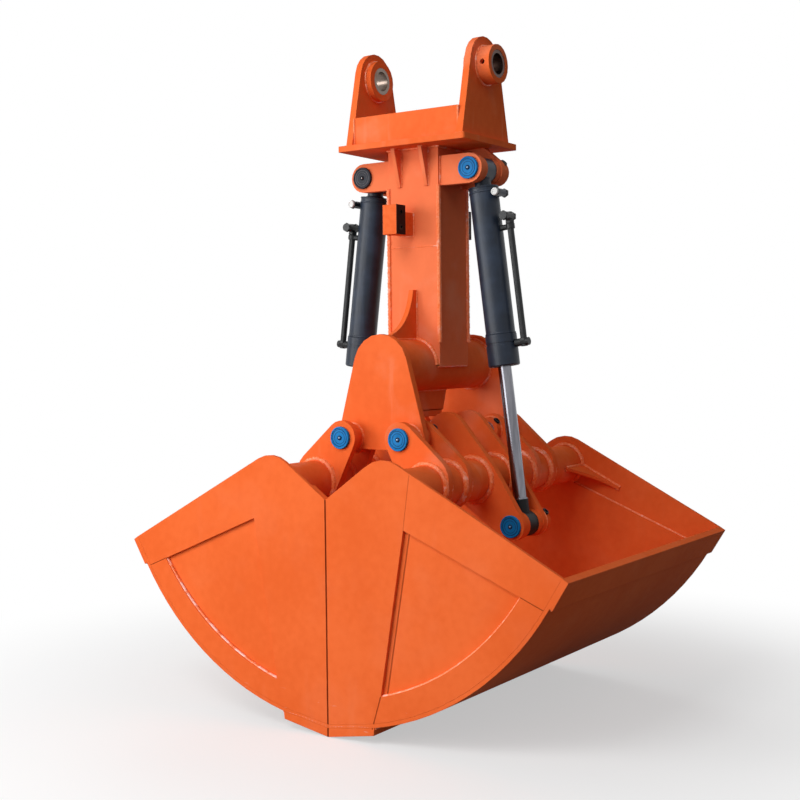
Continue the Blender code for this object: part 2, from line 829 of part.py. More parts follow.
def shell_hinges(finish, hand, side):
    """Cross tube with its inner hinge plates, the outer hinge plates and the brackets of the rod pin."""
    paint = finish["orange paint"]
    centre = (side * hinge_reach, hinge_height)
    tube_centre = (side * tube_reach, tube_height)
    shoulder = (tube_reach + arm_shoulder_step, tube_height + arm_shoulder_rise)
    arm = mirrored(hull_outline([
        (hinge_point, hinge_eye_radius), (tube_point, arm_heel_radius),
        (shoulder, arm_heel_radius - arm_shoulder_step),
    ]), side)
    tube_end = frame_inner_face - fit_gap
    inner_radius = tube_radius - tube_wall
    profile = [
        (0.0, inner_radius), (0.0, tube_radius), (2 * tube_end, tube_radius), (2 * tube_end, inner_radius),
    ]
    tube = turned(
        f"{hand}_cross_tube", paint, profile, (tube_centre[0], -tube_end, tube_height), (0.0, 1.0, 0.0),
        closed=True,
    )
    tube_hole = circle_points(tube_centre, tube_radius + fit_gap)
    buried_hole = circle_points(tube_centre, tube_radius - tube_wall / 2)
    items = [tube]
    for end_name, front in (("front", -1), ("rear", 1)):
        near, far = sorted((front * inner_hinge_face, front * inner_hinge_back))
        ends = sorted((front * inner_hinge_face, front * hinge_retaining_end))
        inner_plate = plate(
            f"{hand}_{end_name}_inner_hinge_plate", paint, arm, near, far, holes=[buried_hole],
            bosses=[(centre, hinge_boss_radius, bore_fit, *ends)],
        )
        middle = front * (inner_hinge_back + hinge_retaining_end) / 2
        cut = bolt_cut(f"{hand}_{end_name}_hinge_bolt_cut", hinge_point, middle, side, retaining_bolt_radius,
                       hinge_boss_radius)
        combine(tube, inner_plate, "UNION")
        combine(tube, cut, "DIFFERENCE")

        near, far = sorted((front * outer_hinge_face, front * outer_hinge_back))
        items.append(plate(
            f"{hand}_{end_name}_hinge_plate", paint, arm, near, far,
            holes=[tube_hole, circle_points(centre, bore_fit)],
        ))

    waist = (tube_point, tube_plate_radius)
    blade = mirrored(hull_outline([
        (hinge_point, bracket_head_radius), waist, (rod_pin_point, bracket_eye_radius), waist,
    ]), side)
    rod_centre = (side * rod_pin_reach, rod_pin_height)
    bore = cylinder_pin_radius + pin_clearance
    boss_end = eye_half_width + running_gap
    items.append(plate(
        f"{hand}_front_rod_bracket", paint, blade, -bracket_face, -bracket_inner_face, holes=[tube_hole],
        bosses=[(rod_centre, bracket_boss_radius, bore, -bracket_face, -boss_end)],
    ))
    rear = plate(
        f"{hand}_rear_rod_bracket", paint, blade, bracket_inner_face, bracket_face, holes=[tube_hole],
        bosses=[(rod_centre, retaining_boss_radius, bore, boss_end, retaining_end)],
    )
    middle = (bracket_face + retaining_end) / 2
    cut = bolt_cut(f"{hand}_rod_bolt_cut", rod_pin_point, middle, side, retaining_bolt_radius,
                   retaining_boss_radius)
    items.append(combine(rear, cut, "DIFFERENCE"))
    return items


def pin_and_cap(finish, name, centre, start, end, radius, cap="blue plastic"):
    """A pin along Y from its capped end to its retained end, with the dust cap in front of the plate."""
    direction = 1.0 if end > start else -1.0
    first = (centre[0], start, centre[1])
    last = (centre[0], end, centre[1])
    pin = rod_between(f"{name}_pin", finish["bare steel"], first, last, radius)
    seat = (centre[0], start - direction * fit_gap, centre[1])
    groove = cap_thickness - cap_ring_depth
    nipple = cap_thickness + cap_ring_depth
    profile = [
        (0.0, 0.0), (0.0, cap_radius), (groove, cap_radius), (cap_thickness, cap_ring_radius),
        (groove, cap_nipple_radius), (nipple, cap_nipple_radius / 2), (nipple, 0.0),
    ]
    cover = turned(f"{name}_cap", finish[cap], profile, seat, (0.0, -direction, 0.0))
    return [pin, cover]


def hinge_pins(finish, hand, side):
    """The two hinge pins of a shell, put in from outside and held in the bosses of the inner plates."""
    centre = (side * hinge_reach, hinge_height)
    items = []
    for end_name, front in (("front", -1), ("rear", 1)):
        items += pin_and_cap(
            finish, f"{hand}_{end_name}_hinge", centre, front * outer_hinge_face, front * hinge_retaining_end,
            hinge_pin_radius,
        )
    return items


def along(hand_point, way, distance, offset_way=None, offset=0.0, depth=0.0):
    """A place a distance along a cylinder's axis, set off sideways and in depth."""
    spot = Vector(hand_point) + way * distance
    if offset_way is not None:
        spot += offset_way * offset
    return Vector((spot.x, depth, spot.y))


def cylinder(finish, hand, side):
    """Barrel with its eye and feed port, gland and rigid return pipe, and the rod with its eye."""
    black = finish["black enamel"]
    top = (side * upper_pin_reach, upper_pin_height)
    foot = (side * rod_pin_reach, rod_pin_height)
    way = (Vector(foot) - Vector(top)).normalized()
    outward = Vector((-way.y, way.x)) * side
    downward = Vector((way.x, 0.0, way.y))
    origin = (top[0], 0.0, top[1])
    eye_bore = cylinder_pin_radius + pin_clearance
    profile = [
        (eye_neck_start, 0.0), (eye_neck_start, barrel_neck_radius), (barrel_start, barrel_neck_radius),
        (barrel_start, barrel_radius - barrel_chamfer), (barrel_start + barrel_chamfer, barrel_radius),
        (barrel_end, barrel_radius), (barrel_end, barrel_bore_radius),
        (barrel_bore_start, barrel_bore_radius), (barrel_bore_start, 0.0),
    ]
    barrel = turned(f"{hand}_barrel", black, profile, origin, downward)
    eye = plate(
        f"{hand}_barrel_eye", black, circle_points(top, eye_radius), -eye_half_width, eye_half_width,
        holes=[circle_points(top, eye_bore)],
    )
    combine(barrel, eye, "UNION")
    stem = rod_between(
        f"{hand}_port_stem", black,
        along(top, way, port_start, outward, barrel_radius - weld_overlap),
        along(top, way, port_start, outward, port_offset), port_stem_radius, small_round_steps,
    )
    port = rod_between(
        f"{hand}_port", black,
        along(top, way, port_start, outward, port_offset, -port_front),
        along(top, way, port_start, outward, port_offset, port_rear), port_radius, small_round_steps,
    )
    combine(barrel, stem, "UNION")
    combine(barrel, port, "UNION")

    start = barrel_end + fit_gap
    groove_floor = gland_radius - gland_groove_depth
    gland_groove_start = barrel_end + gland_groove_setback
    groove_end = gland_groove_start + gland_groove_width
    gland_profile = [
        (start, gland_bore_radius), (start, gland_radius), (gland_groove_start, gland_radius),
        (gland_groove_start, groove_floor), (groove_end, groove_floor), (groove_end, gland_radius),
        (gland_end - gland_chamfer, gland_radius), (gland_end, gland_radius - gland_chamfer),
        (gland_end, gland_bore_radius),
    ]
    gland = turned(f"{hand}_gland", black, gland_profile, origin, downward, closed=True)

    pipe = rod_between(
        f"{hand}_return_pipe", black, along(top, way, pipe_start, outward, pipe_offset),
        along(top, way, pipe_end, outward, pipe_offset), pipe_radius, small_round_steps,
    )
    head = rod_between(
        f"{hand}_pipe_head", black,
        along(top, way, pipe_head_start, outward, pipe_offset, -port_front),
        along(top, way, pipe_head_start, outward, pipe_offset, port_rear), pipe_head_radius, small_round_steps,
    )
    foot_fitting = rod_between(
        f"{hand}_pipe_foot", black,
        along(top, way, pipe_foot_start, outward, gland_radius + fit_gap),
        along(top, way, pipe_foot_start, outward, pipe_foot_reach), pipe_foot_radius, small_round_steps,
    )
    clamp = rod_between(
        f"{hand}_pipe_clamp", black,
        along(top, way, pipe_clamp_start, outward, barrel_radius + fit_gap),
        along(top, way, pipe_clamp_start, outward, pipe_clamp_reach), pipe_clamp_radius, small_round_steps,
    )
    for fitting in (head, foot_fitting, clamp):
        combine(pipe, fitting, "UNION")

    rod_profile = [
        (eye_neck_start, 0.0), (eye_neck_start, rod_neck_radius), (rod_neck_end, rod_neck_radius),
        (rod_neck_end, rod_radius), (rod_end, rod_radius), (rod_end, 0.0),
    ]
    rod = turned(f"{hand}_rod", finish["chrome"], rod_profile, (foot[0], 0.0, foot[1]), -downward)
    rod_eye = plate(
        f"{hand}_rod_eye", black, circle_points(foot, eye_radius), -eye_half_width, eye_half_width,
        holes=[circle_points(foot, eye_bore)],
    )
    combine(rod, rod_eye, "UNION")
    return [barrel, gland, pipe], [rod]


def main():
    """Builds every piece and hangs it on the pivot that it moves with."""
    clear_scene()
    finish = make_finishes()
    root = pivot("hanger_pin_axis", (0.0, 0.0, hanger_axis_height), None)
    root.location = (0.0, 0.0, 0.0)
    fixed = hanger(finish) + column(finish) + upper_brackets(finish) + hinge_frame(finish)
    upper_caps = {"left": "black enamel", "right": "blue plastic"}
    for hand, side in (("left", -1), ("right", 1)):
        upper_centre = (side * upper_pin_reach, upper_pin_height)
        rod_centre = (side * rod_pin_reach, rod_pin_height)
        fixed += pin_and_cap(
            finish, f"{hand}_upper", upper_centre, -bracket_face, retaining_end, cylinder_pin_radius,
            upper_caps[hand],
        )
        shell_axis = pivot(f"{hand}_hinge_axis", (side * hinge_reach, 0.0, hinge_height), root)
        shell = cheeks(finish, hand, side) + shell_sheet(finish, hand, side)
        shell += shell_hinges(finish, hand, side) + hinge_pins(finish, hand, side)
        shell += pin_and_cap(
            finish, f"{hand}_rod", rod_centre, -bracket_face, retaining_end, cylinder_pin_radius,
        )
        carry(shell, shell_axis)
        barrel_axis = pivot(f"{hand}_barrel_axis", (upper_centre[0], 0.0, upper_centre[1]), root)
        rod_axis = pivot(f"{hand}_rod_axis", (rod_centre[0], 0.0, rod_centre[1]), shell_axis)
        barrel_parts, rod_parts = cylinder(finish, hand, side)
        carry(barrel_parts, barrel_axis)
        carry(rod_parts, rod_axis)
    carry(fixed, root)


main()
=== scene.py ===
"""Looks of the hydraulic clamshell bucket: paint, enamel, chrome, welds, screws, fittings, light and camera.

Places are given across the jaws (x), along the hinge pins (y) and in height above the cutting lips.
"""

import math

import bmesh
import bpy
from mathutils import Matrix, Vector


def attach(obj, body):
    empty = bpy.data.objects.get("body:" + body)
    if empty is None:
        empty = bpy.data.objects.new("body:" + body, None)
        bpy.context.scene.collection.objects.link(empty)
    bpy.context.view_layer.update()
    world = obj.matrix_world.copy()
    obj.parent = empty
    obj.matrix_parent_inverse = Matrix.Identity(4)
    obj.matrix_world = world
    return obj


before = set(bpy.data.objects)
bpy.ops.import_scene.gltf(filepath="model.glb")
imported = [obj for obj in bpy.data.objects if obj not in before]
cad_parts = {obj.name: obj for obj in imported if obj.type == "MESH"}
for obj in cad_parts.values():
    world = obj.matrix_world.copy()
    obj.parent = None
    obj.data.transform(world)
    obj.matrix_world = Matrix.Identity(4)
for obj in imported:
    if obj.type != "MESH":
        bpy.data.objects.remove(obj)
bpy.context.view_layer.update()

# Joints and plates: places are (across, height above the lips), and faces lie along the hinge pins
hanger_height = 2.165
hinge = (0.116, 0.9227)
tube = (0.220, 0.774)
upper_pin = (0.216, 1.8165)
rod_pin = (0.366, 0.625)
drum = (0.0, 1.158)
drum_radius = 0.088
tube_radius = 0.070
boss_radius = 0.045
pear_faces = (0.278, 0.303)
outer_hinge_faces = (0.343, 0.368)
inner_hinge_faces = (0.222, 0.247)
bracket_faces = (0.057, 0.082)
hinge_boss_end = 0.192
bracket_boss_end = 0.112
column_half = (0.1017, 0.0922)
base_top = 1.920
base_underside = 1.900
panel_inside = 0.5876
cheek_middle = 0.5996
cheek_outside = 0.6116
sheet_centre = (-0.0246, 0.9791)
sheet_inside_radius = 0.933
window_radius = 0.855
window_head = (0.292, 0.671)
window_tip = (0.689, 0.508)
window_foot = (0.203, 0.155)

# Hanger: ears, with their faces across the jaws, upstands and the long collar
ear_faces = (0.211, 0.236)
ear_half_width = 0.155
ear_boss_radius = 0.070
collar_radius = 0.065
collar_end = 0.2845
collar_bore = 0.0350
upstand_faces = (0.140, 0.124)
upstand_top = 2.016

# Column: ribs, brackets, hose blocks, saddle on the drum, gusset and keel
rib_faces = (0.048, 0.062)
rib_foot = 1.7705
rib_reach = 0.041
bracket_foot = 1.768
front_bracket_top = 1.866
column_plate_seam = 1.563
column_seam_half = 0.098
column_foot = 1.236
stub_reach = 0.058
stub_heights = (1.602, 1.677)
port_heights = (1.626, 1.678)
port_line = 0.1685
block_port_face = 0.0565
port_face_depth = 0.0012
block_stub_end = 0.1422
saddle_edge = (0.094, 1.157)
saddle_arc = (1.0, 179.0)
gusset_half = 0.010
gusset_heights = (1.249, 1.410)
drum_seam = 1.2475
pear_seam = 0.277
keel_root = (0.011, 1.071)
keel_half_length = 0.091
foot_bar_start = -0.078
foot_bar_length = 0.140
foot_bar_half = 0.010
foot_bar_bottom = 0.979
foot_bar_depth = 0.0255
foot_bar_edge = 0.0015

# Shells: arcs of beads in degrees, ledge, gusset to the tube and the way square to it, lip and rim
sheet_arc = (-76.5, -31.6)
window_arc = (-74.6, -33.6)
window_weld_face = 0.6035
ledge_ends = ((0.264, 0.7041), (0.770, 0.4962))
fin_root = (0.2920, 0.7678)
fin_tip = (0.4424, 0.6910)
fin_square = (0.454, 0.891)
fin_half = 0.0065
fin_start = 0.462
lip_seam = (0.1785, 0.0545)
lip_half = 0.609
rim_seam = (0.783, 0.483)
rim_half = 0.606
lip_crack = ((0.006, 0.0325), (0.090, 0.0480), (0.168, 0.0555))

# Screws in the retaining bosses: the head's top over the pin's axis, radius and depth
screw_stand = 0.0505
screw_radius = 0.0125
screw_depth = 0.0095

# Cylinders: distances down from the upper pin, outward from the axis and along the hinge pins
barrel_seams = ((0.0605, 0.0012), (0.0760, 0.0010), (0.5560, 0.0014))
seam_ring_radii = (0.0485, 0.0497, 0.0505)
seam_ring_steps = (0.0015, 0.0045, 0.0060)
neck_seam = (0.0600, 0.0285)
feed_port = (0.091, 0.068)
pipe_head = 0.174
pipe_off = 0.085
pipe_nuts = (0.186, 0.584)
pipe_clamp_start = 0.200
port_near = -0.044
port_far = 0.012
plug_gap = 0.0002
port_nut_radii = (0.0155, 0.0165)
port_nut_lengths = (0.012, 0.010)
nut_edge = 0.0012

# Rod: distances from its pin between which the black of the eye ends
rod_eye_end = (0.0868, 0.0874)

# Outlines of the turned pieces: distance along the axis, and radius
cap_rim_outline = (
    (0.0035, 0.0368), (0.0035, 0.0374), (0.0085, 0.0374), (0.0103, 0.0362), (0.0108, 0.0340),
    (0.0100, 0.0320), (0.0072, 0.0315), (0.0072, 0.0368), (0.0035, 0.0368),
)
cap_seat_outline = (
    (0.0070, 0.0), (0.0070, 0.0078), (0.0092, 0.0078), (0.0098, 0.0070), (0.0098, 0.0052),
    (0.0084, 0.0050), (0.0084, 0.0),
)
cap_nipple_outline = (
    (0.0080, 0.0), (0.0080, 0.0036), (0.0102, 0.0036), (0.0106, 0.0024), (0.0114, 0.0024),
    (0.0120, 0.0020), (0.0124, 0.0012), (0.0125, 0.0),
)
pipe_nut_outline = (
    (0.0, 0.0), (0.0, 0.0150), (0.0012, 0.0160), (0.0120, 0.0160), (0.0132, 0.0150), (0.0132, 0.0),
)
barrel_port_plug_outline = (
    (0.0, 0.0), (0.0, 0.0128), (0.0060, 0.0128), (0.0085, 0.0116), (0.0090, 0.0080),
    (0.0075, 0.0070), (0.0075, 0.0),
)
pipe_clamp_outline = (
    (0.0, 0.0115), (0.0, 0.0150), (0.0160, 0.0150), (0.0160, 0.0115), (0.0, 0.0115),
)
wiper_ring_outline = (
    (0.6600, 0.0385), (0.6600, 0.0500), (0.6690, 0.0500), (0.6690, 0.0410), (0.6665, 0.0385),
    (0.6600, 0.0385),
)
block_port_plug_outline = (
    (-0.0200, 0.0), (-0.0200, 0.0106), (0.0006, 0.0106), (0.0012, 0.0100), (0.0012, 0.0062),
    (-0.0060, 0.0055), (-0.0060, 0.0),
)
collar_sleeve_outline = (
    (0.2364, collar_bore), (collar_end - 0.0010, collar_bore), (collar_end, collar_bore + 0.0010),
    (collar_end, 0.0465), (0.2364, 0.0465), (0.2364, collar_bore),
)

# Rings moulded in a cap: foot and top along the axis, inner and outer radius
cap_groove_rings = ((0.0079, 0.0091, 0.0195, 0.0210), (0.0085, 0.0094, 0.0268, 0.0290))
groove_edge = 0.0003

# Weld beads: sides of a bead, how far its middle stands off its seam, and radii
bead_sides = 8
seam_lift = 0.001
saddle_lift = 0.002
collar_lift = 0.003
collar_bead = 0.0105
saddle_bead = 0.0085
drum_bead = 0.0075
corner_bead = 0.0074
heavy_bead = 0.0065
plate_bead = 0.0055
rim_bead = 0.0050
boss_bead = 0.0045
light_bead = 0.0040
thin_bead = 0.0035
lip_bead = 0.0026
seam_bead = 0.0018

# Colours
deep_orange = (0.80, 0.128, 0.0270)
bright_orange = (0.87, 0.157, 0.0390)
# Pale orange of the paint's patches: partly dust, partly painted sheen
dust_and_sheen_orange = (0.88, 0.30, 0.17)
joint_shade = (0.16, 0.014, 0.004)
scratched_paint = (0.80, 0.52, 0.42)
bead_orange = (0.86, 0.140, 0.022)
# Lighter orange on the ripple crests of a bead: painted highlight
bead_crest_highlight = (0.95, 0.26, 0.100)
machined_dark = (0.030, 0.016, 0.016)
deep_chrome = (0.15, 0.15, 0.17)
bright_chrome = (0.23, 0.23, 0.255)
eye_black = (0.005, 0.007, 0.008)
oxide_brown = (0.20, 0.12, 0.08)

# Paint: heights between which the scratches end, and how near a face a joint line lies
scratched_band = (0.03, 0.16)
line_depth = 0.0008

# Studio: half the floor's width, its gap to the lips, its glow, and the light of the surroundings
floor_half = 14.0
floor_gap = 0.0005
glow_reach = (0.9, 2.4)
glow_share = 0.50
surround_light = 0.29


def at(across, along, height):
    """A place in the frame from its height above the cutting lips."""
    return Vector((across, along, height - hanger_height))


class Value:
    """A number or colour that varies over a surface and can be used in sums."""

    def __init__(self, nodes, socket):
        self.nodes = nodes
        self.socket = socket

    def join(self, operation, first, second):
        """The Math node for one operation on two numbers."""
        return self.nodes.node("ShaderNodeMath", {"operation": operation}, {0: first, 1: second})

    def __add__(self, other):
        return self.join("ADD", self, other)

    def __radd__(self, other):
        return self.join("ADD", other, self)

    def __sub__(self, other):
        return self.join("SUBTRACT", self, other)

    def __rsub__(self, other):
        return self.join("SUBTRACT", other, self)

    def __mul__(self, other):
        return self.join("MULTIPLY", self, other)

    def __rmul__(self, other):
        return self.join("MULTIPLY", other, self)

    def __abs__(self):
        return self.join("ABSOLUTE", self, 0.0)

    def __gt__(self, other):
        return self.join("GREATER_THAN", self, other)

    def __lt__(self, other):
        return self.join("LESS_THAN", self, other)

    def fade(self, start, end):
        """0 where the value is at start, 1 where it is at end, and a smooth change between."""
        settings = {"interpolation_type": "SMOOTHSTEP"}
        return self.nodes.node("ShaderNodeMapRange", settings, {0: self, 1: start, 2: end})

    def larger(self, other):
        """The larger of the value and another."""
        return self.join("MAXIMUM", self, other)


class Nodes:
    """The nodes of a material or of the world, made from expressions."""

    def __init__(self, tree):
        self.tree = tree

    def feed(self, socket, value):
        """Sets a socket to a constant or links a value to it."""
        if isinstance(value, Value):
            self.tree.links.new(value.socket, socket)
        else:
            socket.default_value = value

    def node(self, kind, settings=None, values=None, output=0):
        """A node of a kind with its settings, its sockets' values, and one of its outputs."""
        made = self.tree.nodes.new(kind)
        for name, value in (settings or {}).items():
            setattr(made, name, value)
        for name, value in (values or {}).items():
            self.feed(made.inputs[name], value)
        return Value(self, made.outputs[output])

    def seen(self):
        """1 for what the camera sees, also in metal and through glass, and 0 for all other light."""
        rays = self.node("ShaderNodeLightPath", output="Is Camera Ray")
        for kind in ("Is Glossy Ray", "Is Transmission Ray"):
            rays = rays.larger(self.node("ShaderNodeLightPath", output=kind))
        return rays


class Finish(Nodes):
    """One material, whose shader's inputs vary over the surface."""

    def __init__(self, name, **constants):
        self.material = bpy.data.materials.new(name)
        self.material.use_nodes = True
        super().__init__(self.material.node_tree)
        self.shader = self.tree.nodes["Principled BSDF"]
        self.set(**constants)

    def place(self):
        """The place on the object, which stays with the object as it moves."""
        return self.node("ShaderNodeTexCoord", output="Object")

    def part(self, axis):
        """One coordinate of the place on the object."""
        return self.node("ShaderNodeSeparateXYZ", values={0: self.place()}, output=axis)

    def noise(self, scale, detail, stretch=(1.0, 1.0, 1.0)):
        """Cloudy noise between 0 and 1, at a scale per metre, stretched along the axes."""
        spread = self.node("ShaderNodeVectorMath", {"operation": "MULTIPLY"}, {0: self.place(), 1: stretch})
        return self.node("ShaderNodeTexNoise", values={"Vector": spread, "Scale": scale, "Detail": detail})

    def distance(self, spot):
        """Distance of the place from a spot, the same on both sides of the bucket."""
        folded = self.node("ShaderNodeVectorMath", {"operation": "ABSOLUTE"}, {0: self.place()})
        settings = {"operation": "DISTANCE"}
        return self.node("ShaderNodeVectorMath", settings, {0: folded, 1: [abs(v) for v in spot]}, "Value")

    def line(self, start, end, width, face):
        """1 on a straight line of a side face and 0 beside it, the same on both sides of the bucket."""
        run = Vector(end) - Vector(start)
        length = run.length
        run.normalize()
        across = abs(self.part("X")) - start[0]
        height = self.part("Z") - (start[1] - hanger_height)
        reach = across * run.x + height * run.y
        off = abs(across * run.y - height * run.x)
        near = 1.0 - off.fade(width * 0.4, width)
        on_face = abs(abs(self.part("Y")) - face) < line_depth
        return near * (reach > 0.0) * (reach < length) * on_face

    def blend(self, factor, first, second):
        """A colour mixed from two by a factor. The Mix node's colours are its sockets 6, 7 and 2."""
        settings = {"data_type": "RGBA"}
        return self.node("ShaderNodeMix", settings, {0: factor, 6: first, 7: second}, 2)

    def set(self, **inputs):
        """Feeds the shader's inputs."""
        for socket, value in inputs.items():
            self.feed(self.shader.inputs[socket.replace("_", " ")], value)

    def relief(self, height, distance, edge=0.0):
        """Bump on the surface, with edges rounded for the light."""
        values = {"Height": height, "Distance": distance, "Strength": 1.0}
        if edge:
            values["Normal"] = self.node("ShaderNodeBevel", {"samples": 4}, {"Radius": edge})
        self.set(Normal=self.node("ShaderNodeBump", values=values))


def colour(red, green, blue):
    """An opaque colour."""
    return (red, green, blue, 1.0)


def orange_paint(name, shells=False, joint_lines=(), painted_sheen=0.0):
    """Semi-gloss orange paint over rolled plate, with pale patches that are partly dust and partly painted
    sheen; on the shells with fewer patches, and joints and scratches.
    """
    finish = Finish(name, Specular_IOR_Level=0.0, Coat_Roughness=0.24)
    cloud = finish.noise(2.3, 5.0)
    speck = finish.noise(38.0, 6.0)
    peel = finish.noise(420.0, 2.0)
    shade = (cloud * 0.7 + speck * 0.3).fade(0.34, 0.66)
    base = finish.blend(shade, colour(*deep_orange), colour(*bright_orange))
    run = finish.noise(16.0, 6.0, (1.0, 1.0, 0.16)).fade(0.60, 0.76)
    blotch = finish.noise(6.0, 7.0).fade(0.50, 0.72)
    # Pale patches, partly dust and partly painted sheen; the last term is an even pale wash of painted sheen
    dust_and_sheen = run * 0.05 + blotch * 0.06 if shells else run * 0.26 + blotch * 0.38 + painted_sheen
    base = finish.blend(dust_and_sheen, base, colour(*dust_and_sheen_orange))
    rough = 0.36 + speck * 0.14 + dust_and_sheen * 0.5
    coat = 0.032 - dust_and_sheen * 0.05
    relief = peel * 0.3 + speck * 0.8 + cloud * 2.0
    if shells:
        joints = 0.0
        for start, end, width, depth, face in joint_lines:
            joints = finish.line(start, end, width, face) * depth + joints
        base = finish.blend(joints * 0.75, base, colour(*joint_shade))
        scratch = finish.noise(46.0, 8.0, (0.35, 1.0, 1.8)).fade(0.66, 0.70)
        low = 1.0 - finish.part("Z").fade(*[height - hanger_height for height in scratched_band])
        bare = scratch * low * 0.55
        base = finish.blend(bare, base, colour(*scratched_paint))
        rough = rough + joints * 0.3 + bare * 0.2
        relief = relief - joints * 4.0
    finish.set(Base_Color=base, Roughness=rough, Coat_Weight=coat)
    finish.relief(relief, 0.0006, edge=0.0022)
    return finish.material


def weld_paint(name, bare_and_highlight_share):
    """Orange paint over a weld bead, lighter on its ripples' crests as painted highlight, and pale in
    patches that are partly bare metal showing through thin paint and partly painted highlight.
    """
    finish = Finish(name, Specular_IOR_Level=0.35, Coat_Weight=0.10, Coat_Roughness=0.18)
    ripple = finish.noise(150.0, 5.0)
    # Pale patches: partly bare metal through thin paint, partly painted highlight
    bare_and_highlight = finish.noise(34.0, 6.0).fade(0.62 - 0.26 * bare_and_highlight_share, 0.74 - 0.22 * bare_and_highlight_share)
    pale = colour(0.96, 0.50 + 0.16 * bare_and_highlight_share, 0.36 + 0.30 * bare_and_highlight_share)
    base = finish.blend(ripple.fade(0.30, 0.70), colour(*bead_orange), colour(*bead_crest_highlight))
    base = finish.blend(bare_and_highlight * (0.45 + 0.5 * bare_and_highlight_share), base, pale)
    finish.set(Base_Color=base, Roughness=0.28 + ripple * 0.16)
    finish.relief(ripple, 0.0012)
    return finish.material


def block_paint():
    """Orange paint on a hose block, with its two machined port faces left dark."""
    finish = Finish("hose_block_paint", Specular_IOR_Level=0.0, Coat_Weight=0.03, Coat_Roughness=0.24)
    speck = finish.noise(60.0, 6.0)
    face = abs(finish.part("X"))
    on_block = abs(finish.part("Y")) > block_stub_end
    machined = ((face < port_face_depth) + (face > block_port_face)) * on_block
    base = finish.blend(speck.fade(0.3, 0.7), colour(*deep_orange), colour(*bright_orange))
    finish.set(
        Base_Color=finish.blend(machined, base, colour(*machined_dark)),
        Roughness=0.36 + speck * 0.14 + machined * 0.1, Metallic=machined * 0.5,
    )
    finish.relief(speck, 0.0005, edge=0.0015)
    return finish.material


def black_enamel(name, tint=(0.0105, 0.0165, 0.0290)):
    """Satin blue-black enamel with faint runs and specks."""
    finish = Finish(name, Specular_IOR_Level=0.26, Coat_Weight=0.06, Coat_Roughness=0.24)
    cloud = finish.noise(14.0, 6.0)
    run = finish.noise(30.0, 5.0, (1.0, 1.0, 0.08)).fade(0.55, 0.75)
    speck = finish.noise(260.0, 3.0)
    light = [1.9 * v for v in tint]
    grey = [2.6 * v + 0.012 for v in tint]
    base = finish.blend(cloud.fade(0.35, 0.70), colour(*tint), colour(*light))
    base = finish.blend(run * 0.4, base, colour(*grey))
    finish.set(Base_Color=base, Roughness=0.34 + cloud * 0.16)
    finish.relief(speck * 0.4 + cloud, 0.0005, edge=0.0015)
    return finish.material


def rod_finish():
    """Polished chrome along the rod, and black enamel on its eye and neck."""
    finish = Finish("chrome_rod_with_black_eye", Specular_IOR_Level=0.18)
    eye = 1.0 - finish.distance(at(rod_pin[0], 0.0, rod_pin[1])).fade(*rod_eye_end)
    streak = finish.noise(90.0, 4.0, (1.0, 1.0, 0.06))
    cloud = finish.noise(30.0, 5.0)
    chrome = finish.blend(streak.fade(0.3, 0.7), colour(*deep_chrome), colour(*bright_chrome))
    base = finish.blend(eye, chrome, colour(*eye_black))
    finish.set(
        Base_Color=base, Metallic=1.0 - eye, Roughness=0.17 + streak * 0.08 + eye * (0.22 + cloud * 0.2),
    )
    finish.relief(streak * 0.2 + cloud * eye, 0.0004, edge=0.0012)
    return finish.material


def turned_steel(name, base=(0.50, 0.49, 0.47), rough=0.26):
    """Machined steel with fine turning marks and a little oxide."""
    finish = Finish(name, Metallic=1.0)
    marks = finish.noise(700.0, 2.0, (0.04, 1.0, 0.04))
    oxide = finish.noise(26.0, 6.0).fade(0.50, 0.72)
    shade = finish.blend(marks, colour(*base), colour(*[0.8 * v for v in base]))
    finish.set(
        Base_Color=finish.blend(oxide * 0.45, shade, colour(*oxide_brown)),
        Roughness=rough + oxide * 0.25 + marks * 0.08,
    )
    finish.relief(marks, 0.0003, edge=0.001)
    return finish.material


def moulded_plastic(name, base):
    """Moulded plastic with a light scuff."""
    finish = Finish(name, Specular_IOR_Level=0.10, Coat_Weight=0.02, Coat_Roughness=0.24)
    scuff = finish.noise(130.0, 5.0, (1.0, 0.3, 1.0))
    cloud = finish.noise(22.0, 4.0)
    pale = [1.2 * v + 0.004 for v in base]
    finish.set(
        Base_Color=finish.blend(cloud.fade(0.35, 0.65), colour(*base), colour(*pale)),
        Roughness=0.34 + scuff * 0.2,
    )
    finish.relief(scuff * 0.4 + cloud, 0.0003, edge=0.001)
    return finish.material


paint = orange_paint("orange_paint")
# The column and upper brackets get an even pale wash as well: painted sheen
column_paint = orange_paint("orange_paint_column", painted_sheen=0.30)

# Joint lines of the cheeks: start, end, width, depth and the face that they lie on
tip_joint = (window_tip, (0.800, 0.4625), 0.0018, 0.8, cheek_outside)
head_joint = (window_head, (0.3157, 0.838), 0.0016, 0.4, cheek_outside)
foot_joint = (window_foot, (0.1700, 0.050), 0.0024, 0.9, cheek_outside)
lap_joint = ((0.308, 0.662), (0.221, 0.163), 0.0030, 0.8, cheek_middle)
meeting_line = ((0.0, 0.7470), (0.0, 0.0), 0.0036, 1.2, cheek_outside)
right_joints = [tip_joint, head_joint, foot_joint, lap_joint, meeting_line]

sheet_paint = orange_paint("orange_paint_sheets", shells=True)
left_cheek_paint = orange_paint("orange_paint_left_cheeks", True, [tip_joint, meeting_line])
right_cheek_paint = orange_paint("orange_paint_right_cheeks", True, right_joints)
